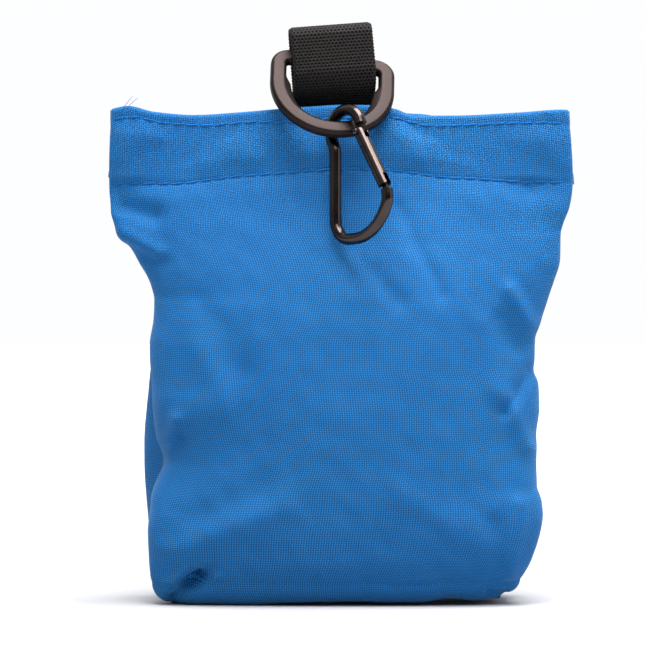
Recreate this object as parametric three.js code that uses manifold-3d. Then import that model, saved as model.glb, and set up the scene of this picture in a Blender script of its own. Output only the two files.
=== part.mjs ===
// A fabric treat pouch with a magnet-closed mouth, a webbing loop, a D-ring and a small carabiner.
// Millimetres, +Z up, front of the pouch towards -Y, origin at the middle of the base's underside.
import * as THREE from 'three';
import { mergeVertices } from 'three/addons/utils/BufferGeometryUtils.js';
import Module from 'manifold-3d';

const wasm = await Module();
wasm.setup();

// ---- Driving dimensions ----
const RIM_HEIGHT = 150;
const PANEL_FOOT = 0.5;
const CLOTH = 1.0;
const GAP = 0.35;

// Sections of the pouch, from base to rim: height, half width left and right, depth in front of the
// side seams and behind them, squareness (under 1 is boxy, 1 is an oval, over 1 is a lens), and how
// far each panel stands off the plane between them at the seams, which is most at the turned hems.
const STATIONS = [
  { z: 0, left: 52, right: 50.5, front: 18.5, back: 18.5, power: 0.3, seam: 0.6 },
  { z: 8, left: 57.5, right: 55.5, front: 22, back: 22, power: 0.38, seam: 0.6 },
  { z: 25, left: 59.5, right: 60.3, front: 26, back: 25.5, power: 0.55, seam: 0.6 },
  { z: 50, left: 60, right: 59.3, front: 27.5, back: 26.5, power: 0.8, seam: 0.6 },
  { z: 80, left: 58, right: 58.5, front: 24.5, back: 24.5, power: 1.0, seam: 0.6 },
  { z: 98, left: 59.5, right: 64, front: 20.5, back: 20.5, power: 1.1, seam: 0.9 },
  { z: 118, left: 70, right: 69, front: 13.5, back: 14.5, power: 1.0, seam: 2.0 },
  { z: 130, left: 70.3, right: 70.2, front: 9.8, back: 13, power: 0.8, seam: 2.9 },
  { z: 150, left: 70.2, right: 69.6, front: 6.8, back: 10.4, power: 0.6, seam: 2.9 },
];

const HEM_DEPTH = 22.5;
const HEM_CHANNEL = 3.3;
const STITCH_BELOW_RIM = 4;
const THREAD = 0.5;
const BASE_THICKNESS = 1.2;

const HEM_STITCH = { side: 127.5, rise: 3.5 };
const SEAM_BINDING = { from: 5.5, to: 11.5, thickness: 1.6 };
const CORNER_SEAM = { length: 25, height: 6, lift: 2.2, inset: 6 };

const MAGNET = { radius: 7, thickness: 2, x: 36, z: 137.5 };

const WEBBING = {
  width: 25, ply: 1.4, x: -2.6, foot: 131.5, top: 175.4, yaw: 6, roll: 4.5, pivot: 163, room: 0.75,
};
const TACK = { from: 134, rise: 4, runs: 3, margin: 2.5, turnOut: 1.4 };
const RING = {
  x: -2.8, y: -2.5, z: 163.9, width: 37.9, height: 31.2, bar: 4.8, thick: 3.4, chamfer: 1.0,
  corner: 3.5, side: 10, yaw: 6, tilt: 6.5, lean: 38,
};

// The carabiner's middle line is given in its own plane, X from the spine to the gate and Z up. It hangs
// on the ring's bow at hangX from the ring's middle, with the bow aboveEye over the eye's centre.
const CARABINER = {
  wire: 3.6, turn: 45, lean: 7, hangX: 4.6, aboveEye: 0.5,
  eye: { x: 4.45, z: 32.3, radius: 6.5, from: 15 },
  spineTop: [[-1.4, 30], [-0.3, 27.4], [0, 25]],
  bow: [
    [0, 15], [0, 6], [0.9, 2.6], [3.3, 0.2], [7, -0.5],
    [12, 0], [16.6, 2.4], [20, 6.2], [21.7, 10.2], [21.4, 13.2],
  ],
  nose: [20.6, 14.8],
};
const GATE = {
  pivot: [10.5, 31.4], tip: [20.75, 14.4], radius: 2.0, slot: 1.7, hingeSlot: 3.2, latchSlot: 3.4,
  tang: 1.0, hingeTongue: 1.5, noseTongue: 0.9, sunk: 0.6, pin: 1.0, bore: 2.3, boreStart: 2, boreEnd: 11.5,
};
const RIVET_HEAD = { radius: 0.95, height: 0.4 };
const PLUNGER = { from: 1.9, to: 4.6, radius: 0.72 };
const SPRING = { turns: 5, from: 5.15, radius: 0.75, wire: 0.3, clear: 0.4 };

const colours = {
  cloth: { color: 0x1f66ab, roughness: 0.85, metalness: 0 },
  thread: { color: 0x1b5a9a, roughness: 0.8, metalness: 0 },
  binding: { color: 0x15181c, roughness: 0.9, metalness: 0 },
  webbing: { color: 0x1c1b1c, roughness: 0.9, metalness: 0 },
  magnet: { color: 0xb5b7ba, roughness: 0.3, metalness: 1 },
  ring: { color: 0x5c5351, roughness: 0.5, metalness: 0.2 },
  gunmetal: { color: 0x4a4341, roughness: 0.25, metalness: 0.9 },
  steel: { color: 0x9a9a9c, roughness: 0.35, metalness: 1 },
};
const materials = {};
for (const [name, settings] of Object.entries(colours)) {
  materials[name] = new THREE.MeshStandardMaterial(settings);
}

const pouch = new THREE.Group();

function addMesh(name, geometry, material, parent = pouch) {
  const mesh = new THREE.Mesh(geometry, materials[material]);
  mesh.name = name;
  parent.add(mesh);
  return mesh;
}

// ---- Solids from grids and from boolean cuts ----

// A closed solid over a grid of points: outside(i, j) and inside(i, j) are its two skins.
function thickGrid(columns, rows, outside, inside) {
  const vertices = [];
  for (const skin of [outside, inside]) {
    for (let i = 0; i <= columns; i++) {
      for (let j = 0; j <= rows; j++) vertices.push(...skin(i, j).toArray());
    }
  }
  const perSkin = (columns + 1) * (rows + 1);
  const at = (skin, i, j) => skin * perSkin + i * (rows + 1) + j;
  const faces = [];
  const quad = (a, b, c, d) => faces.push(a, b, c, a, c, d);
  for (let i = 0; i < columns; i++) {
    for (let j = 0; j < rows; j++) {
      quad(at(0, i, j), at(0, i + 1, j), at(0, i + 1, j + 1), at(0, i, j + 1));
      quad(at(1, i, j), at(1, i, j + 1), at(1, i + 1, j + 1), at(1, i + 1, j));
    }
    quad(at(0, i, 0), at(1, i, 0), at(1, i + 1, 0), at(0, i + 1, 0));
    quad(at(0, i, rows), at(0, i + 1, rows), at(1, i + 1, rows), at(1, i, rows));
  }
  for (let j = 0; j < rows; j++) {
    quad(at(0, 0, j), at(0, 0, j + 1), at(1, 0, j + 1), at(1, 0, j));
    quad(at(0, columns, j), at(1, columns, j), at(1, columns, j + 1), at(0, columns, j + 1));
  }
  const geometry = new THREE.BufferGeometry();
  geometry.setAttribute('position', new THREE.Float32BufferAttribute(vertices, 3));
  geometry.setIndex(faces);
  return facingOut(geometry);
}

// Turns a closed geometry's faces round if they enclose a negative volume.
function facingOut(geometry) {
  const position = geometry.attributes.position;
  const index = geometry.index.array;
  const [a, b, c] = [new THREE.Vector3(), new THREE.Vector3(), new THREE.Vector3()];
  let volume = 0;
  for (let k = 0; k < index.length; k += 3) {
    a.fromBufferAttribute(position, index[k]);
    b.fromBufferAttribute(position, index[k + 1]);
    c.fromBufferAttribute(position, index[k + 2]);
    volume += a.dot(b.cross(c));
  }
  if (volume < 0) {
    for (let k = 0; k < index.length; k += 3) {
      [index[k], index[k + 1]] = [index[k + 1], index[k]];
    }
  }
  geometry.computeVertexNormals();
  return geometry;
}

function toManifold(geometry) {
  const bare = geometry.clone();
  bare.deleteAttribute('normal');
  if (bare.attributes.uv) bare.deleteAttribute('uv');
  const merged = mergeVertices(bare, 1e-4);
  const vertProperties = new Float32Array(merged.attributes.position.array);
  const triVerts = new Uint32Array(merged.index.array);
  return new wasm.Manifold(new wasm.Mesh({ numProp: 3, vertProperties, triVerts }));
}

function fromManifold(solid) {
  const mesh = solid.getMesh();
  const geometry = new THREE.BufferGeometry();
  geometry.setAttribute('position', new THREE.Float32BufferAttribute(mesh.vertProperties, 3));
  geometry.setIndex(Array.from(mesh.triVerts));
  geometry.computeVertexNormals();
  return geometry;
}

function cut(body, ...tools) {
  let solid = toManifold(body);
  for (const tool of tools) solid = solid.subtract(toManifold(tool));
  return fromManifold(solid);
}

function join(...bodies) {
  let solid = toManifold(bodies[0]);
  for (const body of bodies.slice(1)) solid = solid.add(toManifold(body));
  return fromManifold(solid);
}

// A rod of round section along a curve.
function rod(curve, radius, steps, sides) {
  const section = new THREE.Shape();
  for (let k = 0; k < sides; k++) {
    const angle = (2 * Math.PI * k) / sides;
    const [x, y] = [radius * Math.cos(angle), radius * Math.sin(angle)];
    if (k === 0) section.moveTo(x, y);
    else section.lineTo(x, y);
  }
  return new THREE.ExtrudeGeometry(section, { steps, bevelEnabled: false, extrudePath: curve });
}

// A round pin from one point to another.
function pin(from, to, radius, sides = 12) {
  const [a, b] = [new THREE.Vector3(...from), new THREE.Vector3(...to)];
  const along = b.clone().sub(a);
  const geometry = new THREE.CylinderGeometry(radius, radius, along.length(), sides);
  const up = new THREE.Vector3(0, 1, 0);
  geometry.applyQuaternion(new THREE.Quaternion().setFromUnitVectors(up, along.clone().normalize()));
  const middle = a.add(b).multiplyScalar(0.5);
  return geometry.translate(middle.x, middle.y, middle.z);
}

// ---- The pouch's skin ----

// Smooth value of one column of the stations at a height, by a monotone cubic.
function stationValue(key, z) {
  const last = STATIONS.length - 1;
  let i = 0;
  while (i < last - 1 && z > STATIONS[i + 1].z) i++;
  const [lower, upper] = [STATIONS[i], STATIONS[i + 1]];
  const slope = (p, q) => (STATIONS[q][key] - STATIONS[p][key]) / (STATIONS[q].z - STATIONS[p].z);
  const here = slope(i, i + 1);
  const tangent = (other) => (other * here > 0 ? (2 * other * here) / (other + here) : 0);
  const start = i > 0 ? tangent(slope(i - 1, i)) : here;
  const end = i < last - 1 ? tangent(slope(i + 1, i + 2)) : here;
  const span = upper.z - lower.z;
  const t = THREE.MathUtils.clamp((z - lower.z) / span, 0, 1);
  return (2 * t ** 3 - 3 * t ** 2 + 1) * lower[key] + (t ** 3 - 2 * t ** 2 + t) * span * start
    + (3 * t ** 2 - 2 * t ** 3) * upper[key] + (t ** 3 - t ** 2) * span * end;
}

// Outer skin of a panel: side is -1 for the front and 1 for the back, turn runs from -1 at the left
// side seam to 1 at the right one.
function skin(side, turn, z) {
  const angle = (turn * Math.PI) / 2;
  const half = stationValue(turn < 0 ? 'left' : 'right', z);
  const depth = stationValue(side < 0 ? 'front' : 'back', z);
  const power = stationValue('power', z);
  const bulge = Math.max(Math.cos(angle), 0) ** power;
  const seam = stationValue('seam', z);
  return new THREE.Vector3(half * Math.sin(angle), side * (seam + (depth - seam) * bulge), z);
}

// A point inside the outer skin by a distance, measured along the skin's normal.
function under(side, turn, z, distance) {
  const step = 0.01;
  const t = THREE.MathUtils.clamp(turn, -1 + step, 1 - step);
  const across = skin(side, t + step, z).sub(skin(side, t - step, z));
  const upward = skin(side, turn, z + 0.5).sub(skin(side, turn, z - 0.5));
  const inward = across.cross(upward).normalize();
  if (inward.y * side > 0) inward.negate();
  return skin(side, turn, z).addScaledVector(inward, distance);
}

// The turn at which the skin's outer face has a given x.
function turnAt(x, z) {
  const half = stationValue(x < 0 ? 'left' : 'right', z);
  return (2 / Math.PI) * Math.asin(THREE.MathUtils.clamp(x / half, -1, 1));
}

// One cloth panel: up its outer face, over the rim and down inside as the turned hem. The hem's
// channel narrows towards the side seams, where the plies are sewn together.
function panel(side) {
  const columns = 20;
  const foldSteps = 6;
  const columnPath = (turn) => {
    const room = Math.abs(skin(side, turn, RIM_HEIGHT).y) - GAP - CLOTH;
    const fold = Math.min(room, HEM_CHANNEL + CLOTH) / 2;
    const path = [PANEL_FOOT, 4, 9, 16, 26, 38, 50, 64, 78, 90, 100, 110, 120, 130, 140]
      .map((z) => ({ z, inset: CLOTH / 2 }));
    for (let k = 0; k <= foldSteps; k++) {
      const angle = (Math.PI * k) / foldSteps;
      path.push({
        z: RIM_HEIGHT - fold - CLOTH / 2 + fold * Math.sin(angle),
        inset: CLOTH / 2 + fold * (1 - Math.cos(angle)),
      });
    }
    for (const z of [140, 134, RIM_HEIGHT - HEM_DEPTH]) path.push({ z, inset: CLOTH / 2 + 2 * fold });
    return path;
  };
  const skinPoint = (sign) => (i, j) => {
    const turn = 2 * (i / columns) - 1;
    const path = columnPath(turn);
    const [before, after] = [path[Math.max(j - 1, 0)], path[Math.min(j + 1, path.length - 1)]];
    const [dz, di] = [after.z - before.z, after.inset - before.inset];
    const reach = (sign * CLOTH) / (2 * Math.hypot(dz, di));
    return under(side, turn, path[j].z + di * reach, path[j].inset - dz * reach);
  };
  return thickGrid(columns, columnPath(0).length - 1, skinPoint(1), skinPoint(-1));
}

addMesh('front_panel', panel(-1), 'cloth');
addMesh('back_panel', panel(1), 'cloth');

// Base of the pouch, inside the foot of the two panels.
function basePanel() {
  const outline = new THREE.Shape();
  const count = 12;
  const ring = [];
  for (const side of [-1, 1]) {
    for (let k = 0; k <= count; k++) {
      const turn = side * -0.93 * (2 * (k / count) - 1);
      const p = under(side, turn, PANEL_FOOT + 1, CLOTH + 5 * GAP);
      ring.push(new THREE.Vector2(p.x, p.y));
    }
  }
  outline.setFromPoints(ring);
  return new THREE.ExtrudeGeometry(outline, { depth: BASE_THICKNESS, bevelEnabled: false });
}
addMesh('base_panel', basePanel(), 'cloth');

// Bound seam down each side, lying inside between the two panels.
function sideSeam(sign, reachFrom, reachTo, thickness) {
  const heights = [12, 20, 30, 42, 54, 68, 82, 94, 106, 116, 123];
  const skinPoint = (y) => (i, j) => {
    const half = stationValue(sign < 0 ? 'left' : 'right', heights[j]);
    return new THREE.Vector3(sign * (half - (i === 0 ? reachFrom : reachTo)), y, heights[j]);
  };
  return thickGrid(1, heights.length - 1, skinPoint(-thickness / 2), skinPoint(thickness / 2));
}

// A stitched row across a panel, lying just off its outer face.
function stitchRow(side, height) {
  const reach = 0.93;
  const points = [];
  for (let k = 0; k <= 16; k++) {
    const turn = reach * (k / 8 - 1);
    points.push(under(side, turn, height(turn), -(THREAD / 2 + GAP)));
  }
  return rod(new THREE.CatmullRomCurve3(points), THREAD / 2, 32, 5);
}

const SIDES = { left: -1, right: 1 };
const PANELS = { front: -1, back: 1 };

for (const [name, sign] of Object.entries(SIDES)) {
  const { from, to, thickness } = SEAM_BINDING;
  addMesh(`${name}_seam_binding`, sideSeam(sign, from, to, thickness), 'binding');
  const line = [20, 45, 70, 95, 115].map((z) => {
    const half = stationValue(name, z);
    return new THREE.Vector3(sign * (half - (from + to) / 2), thickness / 2 + GAP + THREAD / 2, z);
  });
  const seam = rod(new THREE.CatmullRomCurve3(line), THREAD / 2, 20, 5);
  addMesh(`${name}_seam_stitching`, seam, 'thread');

  const { length, height, lift, inset } = CORNER_SEAM;
  const box = new THREE.BoxGeometry(thickness, length, height);
  const corner = addMesh(`${name}_corner_seam`, box, 'binding');
  corner.position.set(sign * (stationValue(name, 0) - inset), 0, lift + height / 2);
}

for (const [name, side] of Object.entries(PANELS)) {
  const rimRow = stitchRow(side, () => RIM_HEIGHT - STITCH_BELOW_RIM);
  addMesh(`${name}_rim_stitching`, rimRow, 'thread');
  const hemHeight = (turn) => HEM_STITCH.side + HEM_STITCH.rise * Math.cos((turn * Math.PI) / 2);
  const hemRow = stitchRow(side, hemHeight);
  addMesh(`${name}_hem_stitching`, hemRow, 'thread');

  for (const [where, sign] of Object.entries(SIDES)) {
    const turn = turnAt(sign * MAGNET.x, MAGNET.z);
    const middle = CLOTH + HEM_CHANNEL / 2;
    const face = (distance) => under(side, turn, MAGNET.z, middle + distance).toArray();
    const disc = pin(face(-MAGNET.thickness / 2), face(MAGNET.thickness / 2), MAGNET.radius, 24);
    addMesh(`${name}_magnet_${where}`, disc, 'magnet');
  }
}

// ---- Webbing loop ----

// The strap's middle line in the YZ plane, from the front tail inside the hem, round the D-ring's bar
// and back down to the rear tail.
function webbingLine() {
  const { ply, foot, top, room } = WEBBING;
  const frontTail = -(STATIONS.at(-1).front - 2 * CLOTH - HEM_CHANNEL) + GAP + ply / 2;
  const backTail = frontTail + ply + GAP;
  const half = RING.bar / 2 + ply / 2 + room;
  const [front, back] = [RING.y - half, RING.y + half];
  const crown = top - ply / 2 - half;
  const line = [[frontTail, foot], [frontTail, 140], [frontTail, 149], [frontTail - 1.2, 152.6]];
  line.push([front + 1.2, 157], [front, 161.5], [front, 166]);
  for (let k = 0; k <= 6; k++) {
    const angle = Math.PI * (1 - k / 6);
    line.push([RING.y + half * Math.cos(angle), crown + half * Math.sin(angle)]);
  }
  line.push([back, 166], [back, 158], [backTail, 152], [backTail, 149], [backTail, 140], [backTail, foot]);
  return line;
}

function webbingLoop() {
  const line = webbingLine();
  const columns = 6;
  const yaw = THREE.MathUtils.degToRad(WEBBING.yaw);
  const roll = THREE.MathUtils.degToRad(WEBBING.roll);
  const skinPoint = (sign) => (i, j) => {
    const [before, after] = [line[Math.max(j - 1, 0)], line[Math.min(j + 1, line.length - 1)]];
    const [dy, dz] = [after[0] - before[0], after[1] - before[1]];
    const reach = (sign * WEBBING.ply) / (2 * Math.hypot(dy, dz));
    const [y, z] = [line[j][0] - dz * reach, line[j][1] + dy * reach];
    const across = WEBBING.width * (i / columns - 0.5);
    const turned = THREE.MathUtils.smoothstep(z, RIM_HEIGHT + 1, RIM_HEIGHT + 10);
    const [a, b] = [yaw * turned, roll * turned];
    const [along, depth] = [across * Math.cos(b) - (z - WEBBING.pivot) * Math.sin(b), y - RING.y];
    return new THREE.Vector3(
      WEBBING.x + along * Math.cos(a) - depth * Math.sin(a),
      RING.y + along * Math.sin(a) + depth * Math.cos(a),
      z + across * Math.sin(b),
    );
  };
  return thickGrid(columns, line.length - 1, skinPoint(1), skinPoint(-1));
}
addMesh('webbing_loop', webbingLoop(), 'webbing');

// Bar tack that runs to and fro across the rear tail.
function webbingTack() {
  const y = webbingLine().at(-1)[0] + WEBBING.ply / 2 + GAP + THREAD / 2;
  const { from, rise, runs, margin, turnOut } = TACK;
  const run = WEBBING.width / 2 - margin;
  const points = [];
  const addPoint = (x, z) => points.push(new THREE.Vector3(WEBBING.x + x, y, z));
  for (let k = 0; k < runs; k++) {
    const direction = k % 2 === 0 ? 1 : -1;
    const z = from + rise * k;
    for (const x of [-run, 0, run]) addPoint(direction * x, z);
    if (k < runs - 1) addPoint(direction * (run + turnOut), z + rise / 2);
  }
  return rod(new THREE.CatmullRomCurve3(points), THREAD / 2, 48, 5);
}
addMesh('webbing_tack_stitching', webbingTack(), 'thread');

// ---- D-ring ----

// The ring's middle line, across its straight bar, round a corner, down a side and round the bow.
function ringLine() {
  const half = RING.width / 2 - RING.bar / 2;
  const { corner, side } = RING;
  const points = [];
  const arc = (x, z, rx, rz, from, to, steps) => {
    for (let k = 0; k <= steps; k++) {
      const angle = THREE.MathUtils.degToRad(from + ((to - from) * k) / steps);
      points.push(new THREE.Vector2(x + rx * Math.cos(angle), z + rz * Math.sin(angle)));
    }
  };
  arc(-(half - corner), -corner, corner, corner, 180, 90, 5);
  arc(half - corner, -corner, corner, corner, 90, 0, 5);
  arc(0, -side, half, RING.height - RING.bar - side, 0, -180, 20);
  return points;
}

// A closed ring in the XZ plane with an eight-sided section, radial by thick.
function ringSolid(line, radial, thick, chamfer) {
  const [r, t] = [radial / 2, thick / 2];
  const section = [
    [r, t - chamfer], [r - chamfer, t], [chamfer - r, t], [-r, t - chamfer],
    [-r, chamfer - t], [chamfer - r, -t], [r - chamfer, -t], [r, chamfer - t],
  ];
  const vertices = [];
  const faces = [];
  const [count, sides] = [line.length, section.length];
  for (let i = 0; i < count; i++) {
    const along = line[(i + 1) % count].clone().sub(line[(i + count - 1) % count]).normalize();
    for (const [out, y] of section) {
      vertices.push(line[i].x - along.y * out, y, line[i].y + along.x * out);
    }
    for (let k = 0; k < sides; k++) {
      const [next, turn] = [(i + 1) % count, (k + 1) % sides];
      const [a, b] = [i * sides + k, next * sides + k];
      const [c, d] = [next * sides + turn, i * sides + turn];
      faces.push(a, b, c, a, c, d);
    }
  }
  const geometry = new THREE.BufferGeometry();
  geometry.setAttribute('position', new THREE.Float32BufferAttribute(vertices, 3));
  geometry.setIndex(faces);
  return facingOut(geometry);
}

const ringFrame = new THREE.Group();
ringFrame.position.set(RING.x, RING.y, RING.z);
ringFrame.rotation.set(...[-RING.lean, RING.tilt, RING.yaw].map(THREE.MathUtils.degToRad), 'ZYX');
pouch.add(ringFrame);
addMesh('d_ring', ringSolid(ringLine(), RING.bar, RING.thick, RING.chamfer), 'ring', ringFrame);

// ---- Carabiner ----

// In its own frame the carabiner lies in the XZ plane: X from the spine to the gate, Z up its length.
const carabinerFrame = new THREE.Group();
carabinerFrame.rotation.set(
  -THREE.MathUtils.degToRad(CARABINER.lean), 0, -THREE.MathUtils.degToRad(CARABINER.turn), 'XYZ',
);
pouch.add(carabinerFrame);

// Hangs the carabiner's eye on the middle line of the ring's bow.
function hangCarabiner() {
  const half = (RING.width - RING.bar) / 2;
  const fall = (RING.height - RING.bar - RING.side) * Math.sqrt(1 - (CARABINER.hangX / half) ** 2);
  ringFrame.updateMatrixWorld(true);
  const bow = new THREE.Vector3(CARABINER.hangX, 0, -RING.side - fall).applyMatrix4(ringFrame.matrixWorld);
  const eye = new THREE.Vector3(CARABINER.eye.x, 0, CARABINER.eye.z + CARABINER.aboveEye);
  carabinerFrame.position.copy(bow.sub(eye.applyEuler(carabinerFrame.rotation)));
}
hangCarabiner();

const gateReach = new THREE.Vector2(GATE.tip[0] - GATE.pivot[0], GATE.tip[1] - GATE.pivot[1]);
const gateAngle = Math.atan2(gateReach.x, -gateReach.y);
const gateLength = gateReach.length();

function carabinerLine() {
  const { eye, spineTop, bow } = CARABINER;
  const points = [];
  for (let k = 0; k <= 8; k++) {
    const angle = THREE.MathUtils.degToRad(eye.from + ((180 - eye.from) * k) / 8);
    points.push([eye.x + eye.radius * Math.cos(angle), eye.z + eye.radius * Math.sin(angle)]);
  }
  points.push(...spineTop, ...bow);
  return new THREE.CatmullRomCurve3(points.map(([x, z]) => new THREE.Vector3(x, 0, z)));
}

// Flat tongue of a thickness, from one point of the carabiner's plane to another, with round ends.
function tongue(from, to, radius, thickness) {
  const along = new THREE.Vector2(to[0] - from[0], to[1] - from[1]);
  const shape = new THREE.Shape();
  const steps = 8;
  for (let k = 0; k <= 2 * steps + 1; k++) {
    const far = k > steps;
    const angle = along.angle() + Math.PI / 2 + (Math.PI * (far ? k - 1 : k)) / steps;
    const [x, z] = far ? to : from;
    const corner = [x + radius * Math.cos(angle), z + radius * Math.sin(angle)];
    if (k === 0) shape.moveTo(...corner);
    else shape.lineTo(...corner);
  }
  const geometry = new THREE.ExtrudeGeometry(shape, { depth: thickness, bevelEnabled: false });
  return geometry.translate(0, 0, -thickness / 2).rotateX(Math.PI / 2);
}

function carabinerBody() {
  const line = carabinerLine();
  const wire = rod(line, CARABINER.wire / 2, 60, 10);
  const [start, end] = [line.getPoint(0), line.getPoint(1)];
  const hinge = tongue([start.x, start.z + GATE.sunk], GATE.pivot, GATE.hingeTongue, GATE.tang);
  const nose = tongue([end.x, end.z - GATE.sunk], CARABINER.nose, GATE.noseTongue, GATE.tang);
  const [px, pz] = GATE.pivot;
  const hole = pin([px, -GATE.tang, pz], [px, GATE.tang, pz], GATE.pin / 2 + GAP);
  return cut(join(wire, hinge, nose), hole);
}
addMesh('carabiner_body', carabinerBody(), 'gunmetal', carabinerFrame);

const gateFrame = new THREE.Group();
gateFrame.position.set(GATE.pivot[0], 0, GATE.pivot[1]);
gateFrame.rotation.y = -gateAngle;
carabinerFrame.add(gateFrame);

// The gate hangs down its own -Z from the rivet: slotted at both ends and bored for its spring.
function gate() {
  const radius = GATE.radius;
  const tube = pin([0, 0, 0], [0, 0, -gateLength], radius, 14);
  const crown = new THREE.SphereGeometry(radius, 14, 8).rotateX(Math.PI / 2);
  const slot = (from, to) => {
    const box = new THREE.BoxGeometry(4 * radius, GATE.slot, to - from);
    return box.translate(0, 0, -(from + to) / 2);
  };
  const bore = pin([0, 0, -GATE.boreStart], [0, 0, -GATE.boreEnd], GATE.bore / 2, 10);
  const hole = pin([0, -2 * radius, 0], [0, 2 * radius, 0], GATE.pin / 2 + GAP);
  const hingeSlot = slot(-2 * radius, GATE.hingeSlot);
  const latchSlot = slot(gateLength - GATE.latchSlot, gateLength + 1);
  return cut(join(tube, crown), hingeSlot, latchSlot, bore, hole);
}
addMesh('carabiner_gate', gate(), 'gunmetal', gateFrame);

function rivet() {
  const reach = GATE.radius + GAP;
  const end = reach + RIVET_HEAD.height;
  const shank = pin([0, -reach - 0.1, 0], [0, reach + 0.1, 0], GATE.pin / 2, 10);
  const head = (sign) => pin([0, sign * reach, 0], [0, sign * end, 0], RIVET_HEAD.radius, 12);
  return join(shank, head(-1), head(1));
}
addMesh('gate_rivet', rivet(), 'gunmetal', gateFrame);

const plunger = pin([0, 0, -PLUNGER.from], [0, 0, -PLUNGER.to], PLUNGER.radius, 10);
addMesh('gate_plunger', plunger, 'steel', gateFrame);

function spring() {
  const { turns, from, radius, wire, clear } = SPRING;
  const to = GATE.boreEnd - clear;
  const perTurn = 12;
  const steps = perTurn * turns;
  const points = [];
  for (let k = 0; k <= steps; k++) {
    const angle = (2 * Math.PI * k) / perTurn;
    const fall = from + ((to - from) * k) / steps;
    points.push(new THREE.Vector3(radius * Math.cos(angle), radius * Math.sin(angle), -fall));
  }
  return rod(new THREE.CatmullRomCurve3(points), wire / 2, steps, 5);
}
addMesh('gate_spring', spring(), 'steel', gateFrame);

export default pouch;
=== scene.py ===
"""Looks of a fabric treat pouch with a webbing loop, a D-ring and a small carabiner.

Shapes are worked out in millimetres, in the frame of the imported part, and made into meshes in metres.
"""

import math

import bmesh
import bpy
import numpy as np
from mathutils import Matrix, Vector


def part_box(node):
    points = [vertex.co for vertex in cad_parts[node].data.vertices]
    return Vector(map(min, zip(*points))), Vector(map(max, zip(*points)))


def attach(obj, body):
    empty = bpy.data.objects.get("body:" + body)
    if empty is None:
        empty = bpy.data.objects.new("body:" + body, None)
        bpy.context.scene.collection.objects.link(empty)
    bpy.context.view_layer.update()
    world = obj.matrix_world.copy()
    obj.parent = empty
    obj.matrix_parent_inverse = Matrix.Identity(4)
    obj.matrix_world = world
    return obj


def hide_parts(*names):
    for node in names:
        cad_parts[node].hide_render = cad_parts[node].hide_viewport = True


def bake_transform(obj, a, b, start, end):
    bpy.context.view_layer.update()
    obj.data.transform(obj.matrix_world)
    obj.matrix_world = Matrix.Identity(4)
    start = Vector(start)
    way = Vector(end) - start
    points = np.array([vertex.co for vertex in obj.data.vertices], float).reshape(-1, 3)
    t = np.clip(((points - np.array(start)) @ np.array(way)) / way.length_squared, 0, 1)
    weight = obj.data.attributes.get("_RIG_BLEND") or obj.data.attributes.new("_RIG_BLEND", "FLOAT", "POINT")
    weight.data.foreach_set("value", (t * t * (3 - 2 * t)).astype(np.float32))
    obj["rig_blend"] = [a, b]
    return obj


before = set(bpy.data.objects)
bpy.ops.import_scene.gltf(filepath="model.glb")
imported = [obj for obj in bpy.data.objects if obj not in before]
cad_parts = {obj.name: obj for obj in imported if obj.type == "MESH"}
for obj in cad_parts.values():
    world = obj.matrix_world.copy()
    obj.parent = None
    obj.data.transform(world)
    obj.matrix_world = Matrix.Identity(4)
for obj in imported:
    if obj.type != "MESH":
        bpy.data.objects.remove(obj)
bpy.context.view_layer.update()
MM = 0.001

# ---- Driving dimensions ----
RIM_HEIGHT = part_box("front_panel")[1].z / MM
FOOT = 6.5  # radius of the rounding between base and walls
CLOTH = 0.8
FOLD = 2.4  # thickness of the turned rim
HEM_END = 126.8
THREAD = 0.28
FOLD_DEPTH = 1.3
HEM_FLOOR = {"front": -0.45, "back": 0.1}  # the hem sinks no further, which keeps it off the magnets inside
HEM_BULGE = {"front": 0.8, "back": 1.3}  # how far the hem stands out between its rows of stitching

# Half widths of the pouch at each height, front and back layers, left and right of the middle.
HALF_WIDTH = {
    ("front", "left"): [(0, 52), (4.6, 56.6), (8.7, 58.1), (21.5, 58.8), (30, 57.8), (37, 56), (42.5, 54.6),
                        (46, 55.2), (50.5, 56.6), (57, 57.2), (66, 57.8), (78, 58.4), (86, 57.3), (92, 57.1),
                        (96, 58), (103, 61.6), (108, 65), (113, 68.4), (119, 70.6), (127, 71), (150, 70.3)],
    ("back", "left"): [(0, 50), (8, 56), (17, 58.9), (27, 59.8), (39, 60.7), (48, 60.8), (63.5, 59.4),
                       (75, 58), (88, 56), (100, 58), (112, 66), (119, 69.6), (127, 70.6), (150, 70.2)],
    ("front", "right"): [(0, 50), (3, 51.8), (8, 54.8), (14.5, 57.8), (21.5, 59.9), (27, 60.7), (31, 60.3),
                         (36, 58.9), (51, 58.9), (59, 59.7), (66, 59.5), (72, 58.4), (80, 58.6), (86, 60.6),
                         (92, 62.6), (98, 64.6), (104, 66.2), (112, 66.5), (115, 67.3), (120, 69.2),
                         (127.6, 70.3), (145, 69.4), (150, 69)],
    ("back", "right"): [(0, 49), (8, 54), (25, 59.5), (50, 58.2), (66, 58.4), (80, 57.5), (98, 63),
                        (118, 67.6), (127, 70), (150, 69)],
}
# How far the side seam is drawn in behind the layers' rounded edges.
SEAM_TUCK = {
    "left": [(0, 0), (6, 0.5), (15, 2.6), (22, 3.4), (32, 2.2), (38, 0.8), (44, 0.05), (50, 0.6), (56, 1.9),
             (62, 2.9), (68, 3.8), (75, 4), (86, 2), (104, 2), (113, 2.6), (120, 1.2), (126, 0.2), (150, 0)],
    "right": [(0, 0), (8, 1), (25, 4), (50, 3.5), (72, 4), (90, 3), (112, 2.5), (120, 1), (126, 0.2),
              (150, 0)],
}
EDGE_ROUND = 0.14  # share of the layer's turn that its rounded edge takes
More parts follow.
